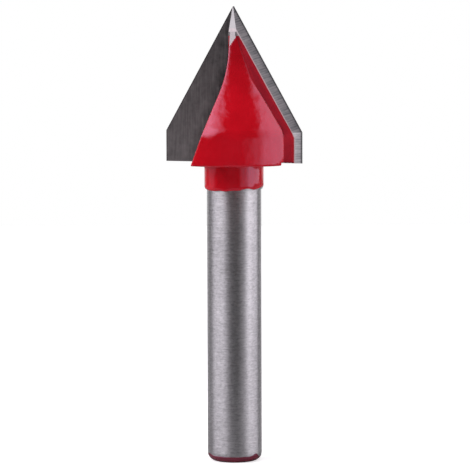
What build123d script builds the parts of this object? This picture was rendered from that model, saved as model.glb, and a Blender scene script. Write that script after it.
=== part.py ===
"""V groove router bit with a 6 mm shank and two brazed carbide cutting plates.

One turned steel body (shank, collar and two-lobed head) carries two thin cemented carbide plates,
each on its own layer of braze. Millimetres. The bit's axis is Z, the shank's end face is at z = 0
and the cutting tip points up. Both cutting edges lie in the XZ plane. Everything on the +X side is
modelled once and turned half a turn about Z for the other side.
"""

import os
from math import cos, radians, sin, tan

from build123d import *

# Shank and collar
shank_diameter = 6.0
shank_length = 30.2  # end face to the collar
shank_end_round = 1.0  # rounded corner of the end face
collar_diameter = 6.34
collar_length = 2.85
collar_edge_round = 0.08
neck_round = 0.25  # where the collar runs into the head's flat underside

# Steel head
head_diameter = 15.1
head_cone_half_angle = 28.8
head_edge_round = 0.15  # lower rim of the head
head_shoulder_round = 2.0  # where the cone meets the cylinder

# Cutting edges
cutting_diameter = 16.0
v_angle = 60.0  # included angle of the groove that the bit cuts
straight_edge = 3.42  # length of the edges parallel to the axis
plate_lift = 0.05  # the plates' lower ends above the head's underside
tip_flat = 0.12  # worn off the meeting point

# Carbide plates, angles measured in a level section
plate_thickness = 1.25
plate_overlap = 0.05  # how far each plate passes the axis at the tip
cone_relief_angle = 29.5
straight_relief_angle = 19.4
braze_thickness = 0.18

# Gullets in front of the plates
gullet_root_x = 4.1  # where the wall meets the rake plane at the head's underside
gullet_web_x = 0.22  # the same beside the tip, where the wall runs upright
gullet_lean = 21.5  # lean of the wall from the axis
gullet_flare = 14.0  # turn of the wall from square to the plate
gullet_bend_radius = 12.0
gullet_corner_round = 0.25
plate_to_gullet = 0.42  # the plate's inner edge stays this far outside the wall's root

# Backing flats, the narrow lands behind the plates
land_step = 0.1  # below the ground flank of plate and braze
land_depth = 3.12  # from the rake plane to the lands' far side
cone_land_angle = 16.5
straight_land_angle = 17.2

# Tip facets, ground across plate, braze and steel behind the point
facet_angle = 25.2  # lean from the axis
facet_offset = 0.07  # from the axis, at the height of the meeting point
facet_end_x = 0.36  # lower end of the facet's edge
facet_end_depth = 4.69  # the same point below the meeting point
facet_edge_lean = 21.8  # the facet's edge from straight up the slope

# End relief, ground under each plate and the steel just behind it
end_relief_angle = 4.0  # rise of the ground face away from the plate's front
end_relief_depth = 3.4  # from the rake plane

# Heights and radii that follow
shank_r = shank_diameter / 2
collar_r = collar_diameter / 2
head_r = head_diameter / 2
cutting_r = cutting_diameter / 2
head_z = shank_length + collar_length
plate_z = head_z + plate_lift
corner_z = plate_z + straight_edge
v_slope = tan(radians(v_angle / 2))
apex_z = corner_z + cutting_r / v_slope
tip_z = apex_z - tip_flat
seat_depth = plate_thickness + braze_thickness
head_corner_z = apex_z - head_r / tan(radians(head_cone_half_angle))
lean_slope = tan(radians(gullet_lean))
inner_edge_foot_x = gullet_root_x + plate_to_gullet - plate_lift * lean_slope
inner_edge_top_z = plate_z + (inner_edge_foot_x + plate_overlap) / lean_slope

# Sizes of the cutting bodies, which reach past the steel
past = 6.0
below = 2.0  # under the head's underside
block = 60.0  # longer than the bit
near = 0.001  # for picking edges by their place


def half_turn(shape):
    return shape.rotate(Axis.Z, 180)


def beyond(point, normal):
    """A block that fills the side of a plane that its normal points to."""
    on_plane = (Align.CENTER, Align.CENTER, Align.MIN)
    return Plane(origin=point, z_dir=normal) * Box(block, block, block, align=on_plane)


def flank(angle, sloped, inset=0.0, start=0.0):
    """What lies outside a plane ground behind a cutting edge, angle in a level section.

    The plane runs along the sloped edge or the straight one. It starts at a depth behind the rake
    plane and is inset there from a true flank of the plate.
    """
    relief = cone_relief_angle if sloped else straight_relief_angle
    x = cutting_r - start * tan(radians(relief)) - inset
    level = Vector(1, -tan(radians(angle)), 0)
    if sloped:
        level += Vector(0, 0, v_slope)
    return beyond((x, -start, corner_z), level)


def turned_blank():
    """The lathe-turned steel before any milling."""
    with BuildPart() as blank:
        with BuildSketch(Plane.XZ):
            with BuildLine():
                Polyline(
                    (0, 0),
                    (shank_r, 0),
                    (shank_r, shank_length),
                    (collar_r, shank_length),
                    (collar_r, head_z),
                    (head_r, head_z),
                    (head_r, head_corner_z),
                    (0, apex_z),
                    close=True,
                )
            make_face()
        revolve(axis=Axis.Z)

        def rim(radius, z):
            circles = blank.edges().filter_by(GeomType.CIRCLE)
            return [e for e in circles if abs(e.radius - radius) < near and abs(e.center().Z - z) < near]

        fillet(rim(shank_r, 0), shank_end_round)
        fillet(rim(collar_r, shank_length), collar_edge_round)
        fillet(rim(collar_r, head_z), neck_round)
        fillet(rim(head_r, head_z), head_edge_round)
        fillet(rim(head_r, head_corner_z), head_shoulder_round)
    return blank.part


def gullet():
    """The milled space in front of the +X plate: a leaning wall, bent upright beside the tip."""
    top_z = apex_z + past
    low_z = head_z - below
    reach = head_r + past
    bend_z = head_z + (gullet_root_x - gullet_web_x) / lean_slope
    low_x = gullet_root_x + below * lean_slope
    with BuildPart() as tool:
        with BuildSketch(Plane.XZ) as side:
            with BuildLine():
                wall = FilletPolyline(
                    (low_x, low_z),
                    (gullet_web_x, bend_z),
                    (gullet_web_x, top_z),
                    radius=gullet_bend_radius,
                )
                Polyline(wall @ 1, (reach, top_z), (2 * reach, low_z), wall @ 0)
            make_face()
        flare = Vector(-sin(radians(gullet_flare)), cos(radians(gullet_flare)), 0)
        extrude(amount=reach, dir=flare)
        front = tool.edges().filter_by_position(Axis.Y, -near, near)
        root = [e for e in front if e.center().X < reach and abs((e @ 0).Z - (e @ 1).Z) > near]
        fillet(root, gullet_corner_round)
    return tool.part


def plate_outline():
    """The +X plate seen square to its rake face, before its flanks are ground."""
    with BuildSketch(Plane.XZ) as outline:
        Polygon(
            (inner_edge_foot_x, plate_z),
            (cutting_r, plate_z),
            (cutting_r, corner_z),
            (0, apex_z),
            (-plate_overlap, apex_z),
            (-plate_overlap, inner_edge_top_z),
            align=None,
        )
    return outline.sketch


def seat():
    """The pocket milled into the steel behind the gullet, for plate and braze."""
    outer = cutting_r + past
    low_z = head_z - below
    low_x = inner_edge_foot_x + (plate_z - low_z) * lean_slope
    clear_x = -(gullet_web_x + gullet_corner_round)
    with BuildPart() as tool:
        with BuildSketch(Plane.XZ):
            Polygon(
                (low_x, low_z),
                (outer, low_z),
                (outer, apex_z + past),
                (clear_x, apex_z + past),
                (clear_x, inner_edge_top_z),
                (-plate_overlap, inner_edge_top_z),
                align=None,
            )
        extrude(amount=seat_depth)
    return tool.part


def tip_facet():
    """What the grinding wheel takes off behind the point; its edge leaves a slanted step."""
    lean = radians(facet_angle)
    outward = Vector(0, -cos(lean), sin(lean))
    slope = Plane(origin=(0, -facet_offset, apex_z), x_dir=(1, 0, 0), z_dir=outward)
    low_y = -facet_end_depth / cos(lean)
    rise = past - low_y
    high_x = facet_end_x + rise * tan(radians(facet_edge_lean))
    with BuildPart() as tool:
        with BuildSketch(slope):
            Polygon((facet_end_x, low_y), (high_x, past), (-past, past), (-past, low_y), align=None)
        extrude(amount=past)
    return tool.part


def lands():
    """What is cut off the steel behind the braze, where the lands lie below the ground flanks."""
    low_z = head_z - below
    inward = (Align.CENTER, Align.MAX, Align.MIN)
    behind = Pos(0, -seat_depth, low_z) * Box(block, land_depth - seat_depth, block, align=inward)
    cone_land = flank(cone_land_angle, True, land_step, seat_depth)
    straight_land = flank(straight_land_angle, False, land_step, seat_depth)
    return (cone_land + straight_land) & behind


def end_relief():
    """What is ground off under the +X plate, on a face that rises from its front edge."""
    under = beyond((0, 0, plate_z), (0, -tan(radians(end_relief_angle)), -1))
    outward = (Align.MIN, Align.CENTER, Align.CENTER)
    beside_collar = Pos(collar_r + neck_round, 0, plate_z) * Box(block, 2 * end_relief_depth, block, align=outward)
    return under & beside_collar


def steel_body():
    body = turned_blank()
    for cut in (gullet(), seat(), lands(), end_relief(), tip_facet()):
        body = body - cut - half_turn(cut)
    return body


def ground(piece):
    """Grinds the flanks, the lower end, the tip facets and the worn point."""
    piece = piece - flank(cone_relief_angle, True) - flank(straight_relief_angle, False) - end_relief()
    piece = piece - tip_facet() - half_turn(tip_facet())
    return piece - beyond((0, 0, tip_z), (0, 0, 1))


def layer(near, far):
    """The plate's outline as a layer between two depths behind the rake plane."""
    with BuildPart() as slab:
        with BuildSketch(Plane.XZ.offset(near)):
            add(plate_outline())
        extrude(amount=far - near)
    return slab.part


def write(name, shape):
    solids = shape.solids()
    solid = solids[0] if len(solids) == 1 else Compound(children=list(solids))
    solid.label = name
    export_step(solid, f"parts/{name}.step")
    box = solid.bounding_box()
    print(name, len(solids), "solid", round(shape.volume, 2), "mm3", box.min, box.max)


os.makedirs("parts", exist_ok=True)
plate = ground(layer(0, plate_thickness))
braze = ground(layer(plate_thickness, seat_depth))
write("steel_body", steel_body())
write("carbide_plate_1", plate)
write("carbide_plate_2", half_turn(plate))
write("braze_1", braze)
write("braze_2", half_turn(braze))
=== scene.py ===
"""Looks of the V groove router bit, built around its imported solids.

The steel body, the carbide plates and the braze keep their solids and get ground and satin metal finishes.
The red enamel is a skin of its own over head and collar, and a second dip covers the shank's end.
Lengths are in millimetres, and MM turns them into metres. Only lamps and floor are given in metres.
The bit's axis is Z and the tip points up. Angles are in degrees until a function turns them.
"""

from math import acos, atan2, cos, degrees, exp, hypot, pi, radians, sin, tan

import bmesh
import bpy
from mathutils import Matrix, Vector, noise
from mathutils.bvhtree import BVHTree


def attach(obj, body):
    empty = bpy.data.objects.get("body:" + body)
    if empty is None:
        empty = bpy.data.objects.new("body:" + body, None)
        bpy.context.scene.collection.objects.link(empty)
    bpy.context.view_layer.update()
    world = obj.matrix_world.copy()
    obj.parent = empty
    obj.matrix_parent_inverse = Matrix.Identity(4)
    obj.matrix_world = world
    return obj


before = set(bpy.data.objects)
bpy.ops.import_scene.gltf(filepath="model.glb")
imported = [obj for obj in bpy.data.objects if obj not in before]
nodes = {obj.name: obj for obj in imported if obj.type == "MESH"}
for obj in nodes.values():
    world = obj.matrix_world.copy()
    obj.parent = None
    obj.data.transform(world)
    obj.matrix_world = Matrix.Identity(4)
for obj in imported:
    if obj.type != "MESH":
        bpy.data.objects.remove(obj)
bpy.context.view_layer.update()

MM = 0.001
X = Vector((1, 0, 0))
Y = Vector((0, 1, 0))
Z = Vector((0, 0, 1))

# Places on the bit, the same as its solids have
shank_r = 3.0
shank_end_round = 1.0
collar_z = 30.2  # the collar's lower end
head_z = 33.05  # the head's flat underside
head_corner_z = 36.64  # where the steel's cone would meet its cylinder without the round
half_v = 30.0
cutting_r = 8.0
corner_z = 36.52  # where the sloped cutting edge meets the straight one
apex_z = corner_z + cutting_r / tan(radians(half_v))
plate_foot_z = 33.1
plate_thickness = 1.25
plate_overlap = 0.05  # how far each plate passes the axis at the tip
inner_edge_foot_x = 4.5
inner_edge_top_z = 44.65  # above it each plate reaches past the axis
inner_edge_lean = 21.5
braze_back = 1.43  # from the rake plane to the braze's far side
cone_relief = 29.5
straight_relief = 19.4
gullet_web_x = 0.22  # the gullet's wall beside the tip
gullet_flare = 14.0
land_step = 0.1  # the lands behind the plates lie this far below the ground flanks
land_depth = 3.12
cone_land = 16.5
straight_land = 17.2
end_relief = 4.0
end_relief_depth = 3.4
end_relief_x = 3.42
facet_lean = 25.2
facet_offset = 0.07
facet_end_x = 0.36
facet_end_depth = 4.69
facet_edge_lean = 21.8

# Red enamel
enamel_thickness = 0.06
enamel_waves = 0.012
enamel_wave_length = 1.6
shoulder_inner_r = 5.0  # the shoulder, where the cone meets the cylinder, lies outside this radius
shoulder_reach = 1.2  # and within this height of the corner
shoulder_build_up = 0.03
shoulder_build_up_width = 0.96
collar_build_up = 0.07
collar_build_up_foot = head_z - 0.3  # full up to here
collar_build_up_top = head_z + 0.1  # none from here on
thinnest_enamel = 0.03
over_edges = 0.02  # the same at the middle of the skin's edges, where they span a sharp corner
skin_grain = 0.108  # spacing of the skin's mesh
skin_smoothing = 12  # rounds of smoothing
shoulder_smoothing = 40  # and this many more on the shoulder
skin_foot = 0.03  # where the skin is closed, above the collar's lower end
foot_reach = 0.3  # nothing is pushed outwards up to here, inside the metal
deepest_skin = 0.5  # how far under a corner of the metal the smoothed skin is looked for
lip_round = 0.2  # how far the paint softens the look of a sharp edge
# Runs of the dip's lower edge: angle round the axis, drop, width
enamel_runs = [
    (-118, 0.09, 18),
    (-88, 0.08, 8),
    (-42, -0.14, 11),
    (8, -0.2, 20),
    (80, 0.12, 14),
    (150, -0.06, 30),
]
runs_foot = collar_z + 0.1  # the runs are full up to here
runs_top = collar_z + 0.9  # and gone from here on

# Where the bit was ground after the dip, the skin dives under the metal
tuck = 0.03  # below the flanks, the rake faces and the lower ends
facet_tuck = 0.04  # below the tip facets and the walls beside them
bare_tip_z = 47.05  # the skin's upper end
flank_tuck_front = 0.3  # how far each tuck reaches past the face it clears
rake_tuck_front = 1.0
wall_tuck_out = 0.3
clear_of_wall = 0.32  # the paint in the gullet's corner stays, this far out from the wall
clear_of_web = 0.08  # and above the plate's inner edge this far past the steel there
rake_tuck_overlap = 0.15  # the rake face is cleared in two heights that overlap by this, up and down

# Dip on the shank's end
end_dip_height = 0.68
end_dip_highest = 0.97  # its edge stays on the round
end_dip_thickness = 0.03
end_dip_inside = 0.2  # how far its hidden side lies inside the steel
end_dip_base = -0.004  # its lowest point, under the flat end face
end_dip_runs = [
    (-70, 0.03, 18),
    (-19, -0.26, 9),
    (6, 0.3, 11),
    (-142, -0.22, 15),
    (60, 0.1, 25),
    (150, -0.07, 20),
]
edge_ripple = 0.03  # unevenness of both dips' edges


# Small helpers


def smoothstep(low, high, x):
    t = min(1.0, max(0.0, (x - low) / (high - low)))
    return t * t * (3 - 2 * t)


def bell(x):
    return exp(-x * x)


def angle_of(point):
    """Angle round the axis, 0 at +X."""
    return degrees(atan2(point.y, point.x))


def drop_at(angle, runs):
    """How far an uneven paint edge hangs down at an angle round the axis."""
    total = 0.0
    for place, drop, width in runs:
        apart = (angle - place + 180) % 360 - 180
        total += drop * bell(apart / width)
    ripple = noise.noise(Vector((2.2 * cos(radians(angle)), 2.2 * sin(radians(angle)), 5.0)))
    return total + edge_ripple * ripple


def new_object(name, data):
    thing = bpy.data.objects.new(name, data)
    bpy.context.scene.collection.objects.link(thing)
    return thing


def new_mesh(bm, name, material):
    """Turns a bmesh into a mesh with one material."""
    mesh = bpy.data.meshes.new(name)
    bm.to_mesh(mesh)
    bm.free()
    mesh.materials.append(material)
    return mesh


def new_piece(bm, name, material, smooth_angle):
    """Turns a bmesh in millimetres into a finished piece that rides on the bit."""
    bmesh.ops.scale(bm, vec=(MM, MM, MM), verts=bm.verts)
    mesh = new_mesh(bm, name, material)
    mesh.shade_smooth()
    if smooth_angle < 180:
        mesh.set_sharp_from_angle(angle=radians(smooth_angle))
    piece = new_object(name, mesh)
    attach(piece, "root")


# Material helpers


class Nodes:
    """A node tree with a few short calls for what its patterns need."""

    def __init__(self, tree):
        self.tree = tree

    def add(self, kind, **settings):
        node = self.tree.nodes.new(kind)
        for key, value in settings.items():
            setattr(node, key, value)
        return node

    def link(self, source, socket):
        self.tree.links.new(source, socket)

    def put(self, value, socket):
        """Links an output, or sets a number or a colour."""
        if isinstance(value, bpy.types.NodeSocket):
            self.link(value, socket)
        elif isinstance(value, tuple):
            socket.default_value = (*value, 1.0)
        else:
            socket.default_value = value

    def ramp(self, source, low, high, to_low=0.0, to_high=1.0):
        node = self.add("ShaderNodeMapRange")
        self.link(source, node.inputs["Value"])
        node.inputs["From Min"].default_value = low
        node.inputs["From Max"].default_value = high
        node.inputs["To Min"].default_value = to_low
        node.inputs["To Max"].default_value = to_high
        return node.outputs["Result"]

    def calc(self, operation, a, b=0.0):
        node = self.add("ShaderNodeMath", operation=operation)
        self.put(a, node.inputs[0])
        self.put(b, node.inputs[1])
        return node.outputs[0]

    def plus(self, a, b):
        return self.calc("ADD", a, b)

    def times(self, a, b):
        return self.calc("MULTIPLY", a, b)

    def dot(self, vector, along):
        node = self.add("ShaderNodeVectorMath", operation="DOT_PRODUCT")
        self.link(vector, node.inputs[0])
        node.inputs[1].default_value = along
        return node.outputs["Value"]

    def mix(self, amount, a, b, kind="RGBA"):
        node = self.add("ShaderNodeMix", data_type=kind)
        self.put(amount, node.inputs["Factor"])
        self.put(a, node.inputs["A"])
        self.put(b, node.inputs["B"])
        return node.outputs["Result"]

    def blend(self, amount, a, b):
        """A mix of two numbers."""
        return self.mix(amount, a, b, "FLOAT")


class Finish(Nodes):
    """The nodes of a material for a piece of the bit."""

    def __init__(self, name):
        self.material = bpy.data.materials.new(name)
        self.material.use_nodes = True
        super().__init__(self.material.node_tree)
        self.shader = self.tree.nodes["Principled BSDF"]
        self.place = self.add("ShaderNodeTexCoord").outputs["Object"]

    def scaled(self, per_mm, turn=0.0):
        """Coordinates in millimetres times a factor for each axis, turned about Z by radians."""
        mapping = self.add("ShaderNodeMapping")
        self.link(self.place, mapping.inputs["Vector"])
        mapping.inputs["Scale"].default_value = [s / MM for s in per_mm]
        mapping.inputs["Rotation"].default_value = (0, 0, turn)
        return mapping.outputs["Vector"]

    def rise(self, low_z, high_z, to_low=0.0, to_high=1.0):
        """A ramp over the height above the shank's end."""
        return self.ramp(self.dot(self.place, Z), low_z * MM, high_z * MM, to_low, to_high)

    def noise(self, vector, detail, rough):
        node = self.add("ShaderNodeTexNoise")
        self.link(vector, node.inputs["Vector"])
        node.inputs["Scale"].default_value = 1.0
        node.inputs["Detail"].default_value = detail
        node.inputs["Roughness"].default_value = rough
        return node.outputs["Fac"]

    def spots(self, vector):
        node = self.add("ShaderNodeTexVoronoi")
        self.link(vector, node.inputs["Vector"])
        node.inputs["Scale"].default_value = 1.0
        return node.outputs["Distance"]

    def bump(self, height, depth_mm, strength, below=None):
        node = self.add("ShaderNodeBump")
        node.inputs["Strength"].default_value = strength
        node.inputs["Distance"].default_value = depth_mm * MM
        self.link(height, node.inputs["Height"])
        if below is not None:
            self.link(below, node.inputs["Normal"])
        return node.outputs["Normal"]

    def coat(self, colour, rough, normal, **constants):
        """Wires up the shader. Constants go straight onto its sockets."""
        self.put(colour, self.shader.inputs["Base Color"])
        self.put(rough, self.shader.inputs["Roughness"])
        self.put(normal, self.shader.inputs["Normal"])
        for socket, value in constants.items():
            self.shader.inputs[socket.replace("_", " ")].default_value = value
        return self.material


# Finishes of the bit


def satin_steel():
    """Centreless-ground shank: fine rings round the axis, a grainy sheen and ground tip facets."""
    f = Finish("satin_steel")
    rings = f.noise(f.scaled((0.9, 0.9, 6.5)), 6.0, 0.75)
    grain = f.noise(f.scaled((2.6, 2.6, 5.0)), 5.0, 0.75)
    stain = f.noise(f.scaled((0.5, 0.5, 0.12)), 3.0, 0.6)
    tone = f.plus(f.ramp(grain, 0.3, 0.7, -0.2, 0.2), f.ramp(rings, 0.3, 0.7, -0.17, 0.17))
    tone = f.plus(tone, f.ramp(stain, 0.3, 0.7, -0.07, 0.07))
    shank = f.mix(f.ramp(tone, -0.3, 0.3), (0.40, 0.395, 0.405), (0.86, 0.85, 0.865))
    # This high up, only what was ground at the tip is bare
    facet = f.rise(45.0, 45.2)
    lines = f.noise(f.scaled((1.5, 12.0, 14.0)), 3.0, 0.6)
    ground = f.mix(lines, (0.26, 0.24, 0.24), (0.42, 0.39, 0.39))
    colour = f.mix(facet, shank, ground)
    rough = f.blend(facet, f.ramp(grain, 0.25, 0.75, 0.37, 0.47), f.ramp(lines, 0.3, 0.7, 0.34, 0.42))
    normal = f.bump(f.plus(rings, f.times(grain, 0.5)), 0.009, 0.7)
    around = f.add("ShaderNodeTangent", direction_type="RADIAL", axis="Z")
    f.link(around.outputs["Tangent"], f.shader.inputs["Tangent"])
    return f.coat(colour, rough, normal, Metallic=1.0, Anisotropic=0.8, Anisotropic_Rotation=0.25)


def carbide(side):
    """Cemented carbide: dull lapped rake face, wheel-ground flanks and a bright tip facet.

    side is 0 for the plate at +X and 1 for the one turned half a turn.
    """
    f = Finish(f"carbide_{side + 1}")
    turn = pi * side
    here = f.scaled((1, 1, 1), turn)
    turned = f.add("ShaderNodeMapping")
    f.link(f.add("ShaderNodeTexCoord").outputs["Normal"], turned.inputs["Vector"])
    turned.inputs["Rotation"].default_value = (0, 0, turn)
    faces = turned.outputs["Vector"]
    lean = radians(facet_lean)
    rake = f.ramp(f.dot(faces, Y), 0.97, 0.99)
    facet = f.ramp(f.dot(faces, (0, -cos(lean), sin(lean))), 0.985, 0.995)
    # Distances in millimetres: up, along the sloped edge, and in from the cutting edges
    slope = radians(half_v)
    up = f.dot(here, Z)
    along = f.dot(here, (-sin(slope), 0, cos(slope)))
    on_cone = f.ramp(up, corner_z - 0.02, corner_z + 0.02)
    edge_from_origin = cutting_r * cos(slope) + corner_z * sin(slope)
    from_cone = f.plus(f.dot(here, (-cos(slope), 0, -sin(slope))), edge_from_origin)
    from_side = f.plus(f.dot(here, -X), cutting_r)
    inward = f.calc("MINIMUM", from_cone, from_side)
    depth_in = f.dot(here, (0, -1 / plate_thickness, 0))
    # Rake face: lapped, a little lighter towards its foot, with painted shade beside the steel
    mottle = f.noise(f.scaled((0.9, 0.9, 0.9), turn), 5.0, 0.65)
    streaks = f.noise(f.scaled((4.5, 1.0, 0.3), turn), 4.0, 0.65)
    dull = f.plus(f.times(streaks, 0.5), f.times(mottle, 0.5))
    dull = f.plus(dull, f.ramp(up, 34.0, 46.0, 0.16, -0.14))
    # Painted shade: the rake face darkens within 1.4 mm of its inner edge, next to the steel
    inner = radians(inner_edge_lean)
    seam_from_origin = inner_edge_foot_x * cos(inner) + plate_foot_z * sin(inner)
    off_seam = f.plus(f.dot(here, (cos(inner), 0, sin(inner))), -seam_from_origin)
    dull = f.plus(dull, f.ramp(off_seam, 0.0, 1.4, -0.24, 0.0))
    lapped = f.mix(f.ramp(dull, 0.2, 0.8), (0.046, 0.042, 0.042), (0.265, 0.248, 0.244))
    # Flanks: lines from the wheel run square to the cutting edge, 3.7 passes to the millimetre
    edge_place = f.blend(on_cone, up, along)
    line_place = f.add("ShaderNodeCombineXYZ")
    f.link(f.times(edge_place, 3.3), line_place.inputs[0])
    f.link(f.times(depth_in, 0.5), line_place.inputs[1])
    scratches = f.noise(line_place.outputs[0], 3.0, 0.6)
    pass_place = f.times(edge_place, 2 * pi * 3.7)
    passes = f.calc("SINE", f.plus(pass_place, f.times(scratches, 4.0)))
    lines = f.plus(scratches, f.times(passes, 0.07))
    tone = f.plus(f.ramp(lines, 0.35, 0.65, -0.3, 0.3), f.ramp(mottle, 0.3, 0.7, -0.14, 0.14))
    # The flanks grow lighter towards the braze
    tone = f.plus(tone, f.ramp(depth_in, 0.1, 1.0, 0.3, 0.7))
    # The sloped and straight flanks are one ground carbide in two tones: painted shade on the sloped one,
    # painted light on the straight one
    darker = f.mix(tone, (0.06, 0.062, 0.065), (0.24, 0.228, 0.23))
    lighter = f.mix(tone, (0.16, 0.16, 0.165), (0.46, 0.445, 0.445))
    flank = f.mix(on_cone, lighter, darker)
    bright = f.mix(lines, (0.24, 0.235, 0.235), (0.42, 0.41, 0.41))
    colour = f.mix(facet, f.mix(rake, flank, lapped), bright)
    # Honed cutting edge, drawn as a dark line of painted shade
    edge = f.ramp(inward, 0.05, 0.13, 0.75, 0.0)
    colour = f.mix(edge, colour, (0.015, 0.014, 0.015))
    rough = f.blend(rake, f.ramp(lines, 0.3, 0.7, 0.32, 0.46), f.ramp(mottle, 0.3, 0.7, 0.42, 0.52))
    normal = f.bump(f.blend(rake, lines, f.times(streaks, 0.4)), 0.006, 0.5)
    return f.coat(colour, rough, normal, Metallic=1.0)


def silver_braze():
    """Braze ground flush with the carbide, pinkish but for the tip facets, with small pores."""
    f = Finish("silver_braze")
    mottle = f.noise(f.scaled((4.0, 4.0, 4.0)), 4.0, 0.6)
    pores = f.ramp(f.spots(f.scaled((6.0, 6.0, 6.0))), 0.0, 0.22)
    tone = f.mix(mottle, (0.34, 0.20, 0.21), (0.50, 0.36, 0.36))
    tone = f.mix(f.rise(46.5, 47.0), tone, (0.40, 0.36, 0.36))
    colour = f.mix(pores, (0.20, 0.12, 0.11), tone)
    normal = f.bump(f.plus(mottle, pores), 0.006, 0.6)
    return f.coat(colour, f.ramp(mottle, 0.3, 0.7, 0.34, 0.5), normal, Metallic=1.0)


def on_lands(f):
    """1 on the lands of both sides: at a land's plane, from the braze to the land's far side."""
    corners = f.add("ShaderNodeSeparateXYZ")
    f.link(f.scaled((1, 1, 1)), corners.inputs[0])
    x, y, z = corners.outputs
    out = f.calc("ABSOLUTE", x)
    back = f.calc("ABSOLUTE", y)
    planes = []
    for angle, relief, slope in (
        (cone_land, cone_relief, tan(radians(half_v))),
        (straight_land, straight_relief, 0.0),
    ):
        lean = tan(radians(angle))
        start = cutting_r - braze_back * tan(radians(relief)) - land_step + braze_back * lean
        level = f.plus(f.plus(out, f.times(back, lean)), f.times(z, slope))
        planes.append(f.plus(level, -start - slope * corner_z))
    land = f.ramp(f.calc("MAXIMUM", *planes), -0.08, 0.0)
    past_braze = f.ramp(back, 1.2, 1.3)
    before_end = f.ramp(back, land_depth - 0.04, land_depth + 0.06, 1.0, 0.0)
    # Behind a plate, x and y have opposite signs
    behind = f.ramp(f.times(x, y), -0.6, -0.3, 1.0, 0.0)
    above = f.ramp(z, plate_foot_z, plate_foot_z + 0.1)
    return f.times(f.times(land, f.times(past_braze, before_end)), f.times(behind, above))


def enamel(name, deep, bright):
    """Dipped glossy enamel: slightly uneven colour, faint orange peel and a few dust nibs."""
    f = Finish(name)
    cloud = f.noise(f.scaled((0.22, 0.22, 0.22)), 3.0, 0.5)
    fine = f.noise(f.scaled((1.6, 1.6, 1.6)), 3.0, 0.6)
    peel = f.noise(f.scaled((1.5, 1.5, 1.5)), 2.0, 0.45)
    sags = f.noise(f.scaled((0.55, 0.55, 0.4)), 1.0, 0.5)
    nibs = f.ramp(f.spots(f.scaled((0.55, 0.55, 0.55))), 0.035, 0.075, 1.0, 0.0)
    tone = f.plus(f.ramp(cloud, 0.35, 0.65, 0.0, 0.7), f.ramp(fine, 0.3, 0.7, 0.0, 0.3))
    colour = f.mix(tone, deep, bright)
    # Darker towards the ground tip
    colour = f.mix(f.rise(40.5, 47.0, 0.0, 0.45), colour, (0.03, 0.0, 0.001))
    # Painted shade on the milled lands behind the plates: a darker colour there, also duller and with a
    # metallic sheen
    land = on_lands(f)
    colour = f.mix(land, colour, (0.31, 0.005, 0.010))
    rough = f.blend(land, f.ramp(fine, 0.3, 0.7, 0.07, 0.13), 0.48)
    f.link(f.times(land, 0.9), f.shader.inputs["Metallic"])
    # Highlights run softly over sharp edges, as on thick paint
    rounded = f.add("ShaderNodeBevel", samples=6)
    rounded.inputs["Radius"].default_value = lip_round * MM
    wavy = f.bump(sags, 0.09, 1.0, rounded.outputs["Normal"])
    smooth = f.bump(peel, 0.03, 0.8, wavy)
    normal = f.bump(nibs, 0.01, 0.5, smooth)
    return f.coat(colour, rough, normal, IOR=1.72, Specular_Tint=(1.0, 0.70, 0.98, 1.0))


# The enamel skin


def merged_solids(names):
    """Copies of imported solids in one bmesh, each with its triangles joined up, in millimetres."""
    whole = bmesh.new()
    for name in names:
        copy = bmesh.new()
        copy.from_mesh(nodes[name].data)
        bmesh.ops.remove_doubles(copy, verts=copy.verts, dist=1e-7)
        joined = bpy.data.meshes.new(name)
        copy.to_mesh(joined)
        copy.free()
        whole.from_mesh(joined)
        bpy.data.meshes.remove(joined)
    bmesh.ops.scale(whole, vec=(1 / MM, 1 / MM, 1 / MM), verts=whole.verts)
    return whole


def remeshed(bm, spacing):
    """The bmesh's outer surface as an even grid of quads."""
    mesh = bpy.data.meshes.new("remesh")
    bm.to_mesh(mesh)
    bm.free()
    helper = new_object("remesh", mesh)
    grid = helper.modifiers.new("grid", "REMESH")
    grid.mode = "VOXEL"
    grid.voxel_size = spacing
    deps = bpy.context.evaluated_depsgraph_get()
    even = bpy.data.meshes.new_from_object(helper.evaluated_get(deps))
    out = bmesh.new()
    out.from_mesh(even)
    bpy.data.objects.remove(helper)
    bpy.data.meshes.remove(mesh)
    bpy.data.meshes.remove(even)
    return out


def at_foot(point):
    """True where the skin is closed across the shank, inside the metal."""
    return point.z < collar_z + foot_reach and hypot(point.x, point.y) < shank_r + 0.05


def short_of(point, outward, metal, least):
    """How far a point of the skin has to move outwards to clear the metal by the least thickness."""
    if at_foot(point):
        return 0.0
    place, normal, _, depth = metal.ray_cast(point, outward, deepest_skin)
    if place is not None and normal.dot(outward) > 0:
        return depth + least
    distance = metal.find_nearest(point)[3]
    return max(0.0, least - distance)


def keep_off(bm, metal):
    """Moves the skin's vertices out until the enamel has its least thickness there."""
    bm.normal_update()
    for v in bm.verts:
        v.co += v.normal * short_of(v.co, v.normal, metal, thinnest_enamel)


def cover_corners(bm, metal):
    """Lifts the skin where the middle of an edge or a face would let a corner of the metal through."""
    bm.normal_update()
    for part in bm.edges[:] + bm.faces[:]:
        verts = part.verts
        middle = sum((v.co for v in verts), Vector()) / len(verts)
        outward = sum((v.normal for v in verts), Vector()).normalized()
        lift = short_of(middle, outward, metal, over_edges)
        if lift > 0:
            for v in verts:
                v.co += outward * lift


def smooth(bm, verts, times):
    for _ in range(times):
        bmesh.ops.smooth_vert(bm, verts=verts, factor=0.5, use_axis_x=True, use_axis_y=True, use_axis_z=True)


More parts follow.
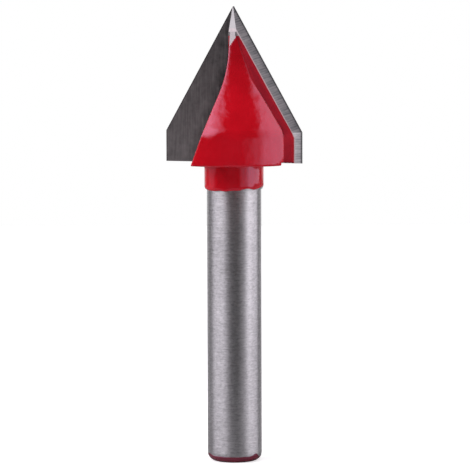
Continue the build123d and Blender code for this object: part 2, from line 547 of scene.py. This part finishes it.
def tuck_under(bm, depth, surface, walls):
    """Cuts the skin along a ground face and its walls, and sinks what lies outside the face below it.

    surface and walls are (point, outward normal). The part that is sunk is outside the surface and
    inside every wall.
    """
    point, normal = surface
    planes = [(point - depth * normal, normal)] + [(p, -n) for p, n in walls]

    def near_or_in(v):
        return all((v.co - p).dot(n) > -2 * skin_grain for p, n in planes)

    for plane_point, plane_normal in planes:
        faces = [f for f in bm.faces if any(near_or_in(v) for v in f.verts)]
        parts = faces + list({e for f in faces for e in f.edges}) + list({v for f in faces for v in f.verts})
        bmesh.ops.bisect_plane(bm, geom=parts, dist=1e-5, plane_co=plane_point, plane_no=plane_normal)
    for v in bm.verts:
        if all((v.co - p).dot(n) > 1e-4 for p, n in planes):
            v.co -= (v.co - planes[0][0]).dot(normal) * normal


def half_turned(planes):
    turn = Matrix.Rotation(pi, 3, "Z")
    return [(turn @ p, turn @ n) for p, n in planes]


def relief_normal(relief, slope=0.0):
    """Outward normal of a ground flank. relief is measured in a level section."""
    return (X - tan(radians(relief)) * Y + slope * Z).normalized()


def ground_faces():
    """The depth of each tuck, its ground face and the walls that bound it, for the plate at +X."""
    # The flanks
    corner = Vector((cutting_r, 0, corner_z))
    walls = [(-braze_back * Y, -Y), (flank_tuck_front * Y, Y)]
    yield tuck, [(corner, relief_normal(cone_relief, tan(radians(half_v))))] + walls
    yield tuck, [(corner, relief_normal(straight_relief))] + walls
    # The rake face, inside the plate's outline, in two heights
    lean = radians(inner_edge_lean)
    foot = Vector((inner_edge_foot_x, 0, plate_foot_z))
    rake = (foot, Y)
    inner_edge = (foot, Vector((-cos(lean), 0, -sin(lean))))
    in_front = (rake_tuck_front * Y, Y)
    flare = radians(gullet_flare)
    off_wall = Vector((cos(flare), sin(flare), 0))
    web = gullet_web_x * X
    beside_wall = (web + clear_of_wall * off_wall, -off_wall)
    under_foot = (foot - Z, -Z)
    lower_end = ((inner_edge_top_z + rake_tuck_overlap) * Z, Z)
    upper_end = ((inner_edge_top_z - rake_tuck_overlap) * Z, -Z)
    past_axis = ((plate_overlap + clear_of_web) * X, -X)
    yield tuck, [rake, inner_edge, beside_wall, under_foot, lower_end, in_front]
    yield tuck, [rake, past_axis, upper_end, in_front]
    # The gullet's wall beside the tip facet
    outside_wall = (web + wall_tuck_out * off_wall, off_wall)
    facet_foot = ((apex_z - facet_end_depth) * Z, -Z)
    yield facet_tuck, [(web, off_wall), outside_wall, facet_foot, (foot, -Y), in_front]
    # The lower end, ground across plate, braze and the steel behind them
    under = Vector((0, -tan(radians(end_relief)), -1)).normalized()
    beside_collar = (end_relief_x * X, -X)
    last = (-end_relief_depth * Y, -Y)
    yield tuck, [(plate_foot_z * Z, under), beside_collar, last, rake]
    # The tip facet, inside the wheel's slanted edge
    tilt = radians(facet_lean)
    outward = Vector((0, -cos(tilt), sin(tilt)))
    slope_up = Vector((0, sin(tilt), cos(tilt)))
    start = Vector((0, -facet_offset, apex_z))
    end = start + facet_end_x * X - facet_end_depth / cos(tilt) * slope_up
    edge_lean = radians(facet_edge_lean)
    edge_normal = cos(edge_lean) * X - sin(edge_lean) * slope_up
    yield facet_tuck, [(start, outward), (end, edge_normal), (end, -slope_up)]


def close_skin(bm, z, side):
    """Cuts off the skin above a height (clear_outer) or below it (clear_inner) and closes it there."""
    parts = bm.verts[:] + bm.edges[:] + bm.faces[:]
    bmesh.ops.bisect_plane(bm, geom=parts, plane_co=(0, 0, z), plane_no=(0, 0, 1), **{side: True})
    bmesh.ops.holes_fill(bm, edges=[e for e in bm.edges if e.is_boundary], sides=0)


def on_shoulder(point):
    return hypot(point.x, point.y) > shoulder_inner_r and abs(point.z - head_corner_z) < shoulder_reach


def film(point):
    """Thickness of the enamel over a point of the metal."""
    wave = noise.noise(point / enamel_wave_length) * enamel_waves
    build_up = shoulder_build_up * bell((point.z - head_corner_z) / shoulder_build_up_width)
    build_up += collar_build_up * (1 - smoothstep(collar_build_up_foot, collar_build_up_top, point.z))
    return enamel_thickness + wave + build_up


def enamel_skin(material):
    """The dip over head and collar, bare where plates, braze and tip were ground afterwards."""
    bm = merged_solids(["steel_body", "carbide_plate_1", "carbide_plate_2", "braze_1", "braze_2"])
    bmesh.ops.triangulate(bm, faces=bm.faces)
    metal = BVHTree.FromBMesh(bm)
    close_skin(bm, collar_z + skin_foot, "clear_inner")
    bm = remeshed(bm, skin_grain)
    smooth(bm, bm.verts[:], skin_smoothing)
    smooth(bm, [v for v in bm.verts if on_shoulder(v.co)], shoulder_smoothing)
    bm.normal_update()
    for v in bm.verts:
        v.co += v.normal * film(v.co)
    for _ in range(3):
        keep_off(bm, metal)
        smooth(bm, bm.verts[:], 1)
    keep_off(bm, metal)
    for _ in range(3):
        cover_corners(bm, metal)
        smooth(bm, bm.verts[:], 1)
    for _ in range(2):
        cover_corners(bm, metal)
    for v in bm.verts:
        fade = 1 - smoothstep(runs_foot, runs_top, v.co.z)
        if fade > 0:
            v.co.z -= fade * drop_at(angle_of(v.co), enamel_runs)
    for depth, planes in ground_faces():
        for both in (planes, half_turned(planes)):
            tuck_under(bm, depth, both[0], both[1:])
    close_skin(bm, bare_tip_z, "clear_outer")
    new_piece(bm, "head_enamel", material, 180)


def end_dip(material):
    """The second dip, over the shank's rounded end. Its uneven edge lies on the round."""
    bm = bmesh.new()
    centre_r = shank_r - shank_end_round
    edge = acos(1 - end_dip_height / shank_end_round)
    outer = shank_end_round + end_dip_thickness
    inner = shank_end_round - end_dip_inside
    # The profile as distance from the round's centre and angle from straight down
    steps = 10
    around = [(outer, edge * i / steps) for i in range(steps + 1)]
    around += [(outer - 0.01, edge + 0.02), (shank_end_round - 0.02, edge + 0.03)]
    around += [(inner, edge * i / steps) for i in range(steps, -1, -1)]
    profile = [(centre_r + reach * sin(a), shank_end_round - reach * cos(a)) for reach, a in around]
    profile = [(0, profile[0][1])] + profile + [(0, profile[-1][1])]
    line = [bm.verts.new((r, 0, z)) for r, z in profile]
    geom = line + [bm.edges.new(pair) for pair in zip(line, line[1:])]
    bmesh.ops.spin(bm, geom=geom, cent=(0, 0, 0), axis=(0, 0, 1), angle=2 * pi, steps=144, use_merge=True)
    bmesh.ops.remove_doubles(bm, verts=bm.verts, dist=1e-5)
    # Each vertex outside the flat end moves along the round until the edge is at its height
    for v in bm.verts:
        radius = hypot(v.co.x, v.co.y)
        if radius <= centre_r:
            continue
        height = min(end_dip_highest, end_dip_height - drop_at(angle_of(v.co), end_dip_runs))
        stretch = acos(1 - height / shank_end_round) / edge
        reach = hypot(radius - centre_r, shank_end_round - v.co.z)
        turn = atan2(radius - centre_r, shank_end_round - v.co.z) * stretch
        out = (centre_r + reach * sin(turn)) / radius
        v.co = Vector((v.co.x * out, v.co.y * out, shank_end_round - reach * cos(turn)))
    for v in bm.verts:
        v.co.z = max(v.co.z, end_dip_base)
    bmesh.ops.recalc_face_normals(bm, faces=bm.faces)
    new_piece(bm, "end_enamel", material, 60)


# Studio


def direction(azimuth, elevation):
    """Unit vector from the bit, azimuth 0 towards -Y and 90 towards +X, in degrees."""
    a, e = radians(azimuth), radians(elevation)
    return Vector((sin(a) * cos(e), -cos(a) * cos(e), sin(e)))


camera_azimuth = 20.44
camera_elevation = 4.813
camera_distance = 363.58
camera_roll = 0.186
aim_z = 25.041
aim_right = 0.09
picture_pixels = 470  # width of the picture
pixels_per_mm = 9.0512  # at the aim


def camera():
    data = bpy.data.cameras.new("camera")
    data.sensor_width = 36.0
    data.lens = data.sensor_width * pixels_per_mm * camera_distance / picture_pixels
    data.clip_start = 0.01
    data.clip_end = 10.0
    cam = new_object("camera", data)
    back = direction(camera_azimuth, camera_elevation)
    right = Vector((cos(radians(camera_azimuth)), sin(radians(camera_azimuth)), 0))
    aim = Vector((0, 0, aim_z)) + aim_right * right
    up = back.cross(right)
    upright = Matrix((right, up, back)).transposed().to_4x4()
    roll = Matrix.Rotation(radians(-camera_roll), 4, "Z")
    cam.matrix_world = Matrix.Translation((aim + camera_distance * back) * MM) @ upright @ roll
    bpy.context.scene.camera = cam


lamp_colour = (1.0, 0.95, 1.02)
even_fades = (0.3, 0.3, 0.3, 0.3)


def softbox(name, azimuth, elevation, size, distance, radiance, upright=False, roll=0.0, fades=even_fades):
    """A rectangular lamp with soft edges that faces the bit, azimuth from the camera's side.

    fades are the shares of width and height over which the left, right, lower and upper edges fade.
    An upright lamp stands square to the floor instead of being tipped towards the bit.
    """
    width, height = size
    data = bpy.data.lights.new(name, "AREA")
    data.shape = "RECTANGLE"
    data.size = width
    data.size_y = height
    data.energy = radiance * pi * width * height
    data.color = lamp_colour
    data.use_nodes = True
    n = Nodes(data.node_tree)
    across = n.add("ShaderNodeSeparateXYZ")
    n.link(n.add("ShaderNodeNewGeometry").outputs["Parametric"], across.inputs[0])
    left, right, lower, upper = fades
    strength = 1.0
    for axis, low, high in (("X", left, right), ("Y", lower, upper)):
        for start, end in ((0.0, low), (1.0, 1.0 - high)):
            strength = n.times(strength, n.ramp(across.outputs[axis], start, end))
    n.link(strength, n.tree.nodes["Emission"].inputs["Strength"])
    lamp = new_object(name, data)
    toward = direction(camera_azimuth + azimuth, elevation)
    aim = direction(camera_azimuth + azimuth, 0) if upright else toward
    facing = aim.to_track_quat("Z", "Y").to_matrix().to_4x4()
    turned = Matrix.Rotation(radians(roll), 4, "Z")
    lamp.matrix_world = Matrix.Translation(toward * distance) @ facing @ turned
    return lamp


room_fill = 0.2  # the room's brightness as it lights the bit
room_reflected = 0.05  # and as the bit mirrors it
wall_full = 16  # angle from straight behind the bit up to which the wall is white
wall_edge = 55  # and the angle from which on it is gone


def studio_world():
    """A dim room with a white wall behind the bit; the camera sees white all round."""
    world = bpy.data.worlds.new("studio")
    bpy.context.scene.world = world
    world.use_nodes = True
    n = Nodes(world.node_tree)
    room = n.tree.nodes["Background"]
    white = n.add("ShaderNodeBackground")
    room.inputs["Color"].default_value = (1, 1, 1, 1)
    white.inputs["Color"].default_value = (1, 1, 1, 1)
    path = n.add("ShaderNodeLightPath")
    seen = path.outputs["Is Camera Ray"]
    shown = n.calc("MAXIMUM", seen, path.outputs["Is Glossy Ray"])
    shown = n.calc("MAXIMUM", shown, path.outputs["Is Transmission Ray"])
    n.link(n.ramp(shown, 0.0, 1.0, room_fill, room_reflected), room.inputs["Strength"])
    ahead = n.dot(n.add("ShaderNodeTexCoord").outputs["Generated"], -direction(camera_azimuth, 0))
    wall = n.ramp(ahead, cos(radians(wall_edge)), cos(radians(wall_full)))
    mixer = n.add("ShaderNodeMixShader")
    n.link(n.calc("MAXIMUM", n.times(wall, shown), seen), mixer.inputs[0])
    n.link(room.outputs[0], mixer.inputs[1])
    n.link(white.outputs[0], mixer.inputs[2])
    n.link(mixer.outputs[0], n.tree.nodes["World Output"].inputs["Surface"])


floor_half_width = 0.30
floor_front = 0.022  # from the bit towards the camera
floor_back = 0.32
floor_z = -0.006 * MM  # just below the enamel on the shank's end
floor_lift = 0.62  # what the white finish adds to the lit floor


def floor():
    """Pale table top whose front edge is just before the bit. The bit mirrors it darker than it is."""
    material = bpy.data.materials.new("pale_table")
    material.use_nodes = True
    n = Nodes(material.node_tree)
    path = n.add("ShaderNodeLightPath")
    matt = n.add("ShaderNodeBsdfDiffuse")
    shade = n.mix(path.outputs["Is Glossy Ray"], (0.82, 0.82, 0.82), (0.30, 0.30, 0.30))
    n.link(shade, matt.inputs["Color"])
    glow = n.add("ShaderNodeEmission")
    n.link(n.times(path.outputs["Is Camera Ray"], floor_lift), glow.inputs["Strength"])
    both = n.add("ShaderNodeAddShader")
    n.link(matt.outputs[0], both.inputs[0])
    n.link(glow.outputs[0], both.inputs[1])
    n.link(both.outputs[0], n.tree.nodes["Material Output"].inputs["Surface"])
    bm = bmesh.new()
    bmesh.ops.create_grid(bm, x_segments=1, y_segments=1, size=1.0)
    depth = (floor_front + floor_back) / 2
    bmesh.ops.scale(bm, vec=(floor_half_width, depth, 1), verts=bm.verts)
    bmesh.ops.translate(bm, vec=(0, floor_back - depth, floor_z), verts=bm.verts)
    turn = Matrix.Rotation(radians(camera_azimuth), 3, "Z")
    bmesh.ops.rotate(bm, cent=(0, 0, 0), matrix=turn, verts=bm.verts)
    top = new_object("floor", new_mesh(bm, "floor", material))


def dress(node, material):
    for slot in node.material_slots:
        slot.material = material


dress(nodes["steel_body"], satin_steel())
for side in (0, 1):
    dress(nodes[f"carbide_plate_{side + 1}"], carbide(side))
braze = silver_braze()
dress(nodes["braze_1"], braze)
dress(nodes["braze_2"], braze)
enamel_skin(enamel("red_enamel", (0.52, 0.002, 0.008), (0.65, 0.003, 0.012)))
# The end's enamel is the head's red made much darker, as painted shade on the downward-facing round
end_dip(enamel("red_enamel_in_painted_shade", (0.11, 0.014, 0.022), (0.16, 0.02, 0.034)))

camera()
studio_world()
floor()
softbox("right_box", 80, 24, (0.8, 1.0), 0.56, 1.55, upright=True, roll=-4, fades=(0.33, 0.08, 0.1, 0.2))
softbox("right_card", 35, -4, (0.3, 0.3), 0.5, 0.5, fades=(0.45, 0.45, 0.2, 0.3))
softbox("left_box", -72, 36, (0.9, 0.6), 0.5, 3.0)
softbox("left_card", -98, -5, (0.4, 0.3), 0.5, 0.35)
softbox("top_box", 0, 88, (0.5, 0.4), 0.6, 2.2)
softbox("low_card", 5, -42, (0.6, 0.4), 0.5, 0.28)
fill = softbox("front_fill", -5, -12, (0.6, 0.4), 0.6, 0.85)
fill.visible_glossy = False
bpy.context.scene.view_settings.view_transform = "Standard"
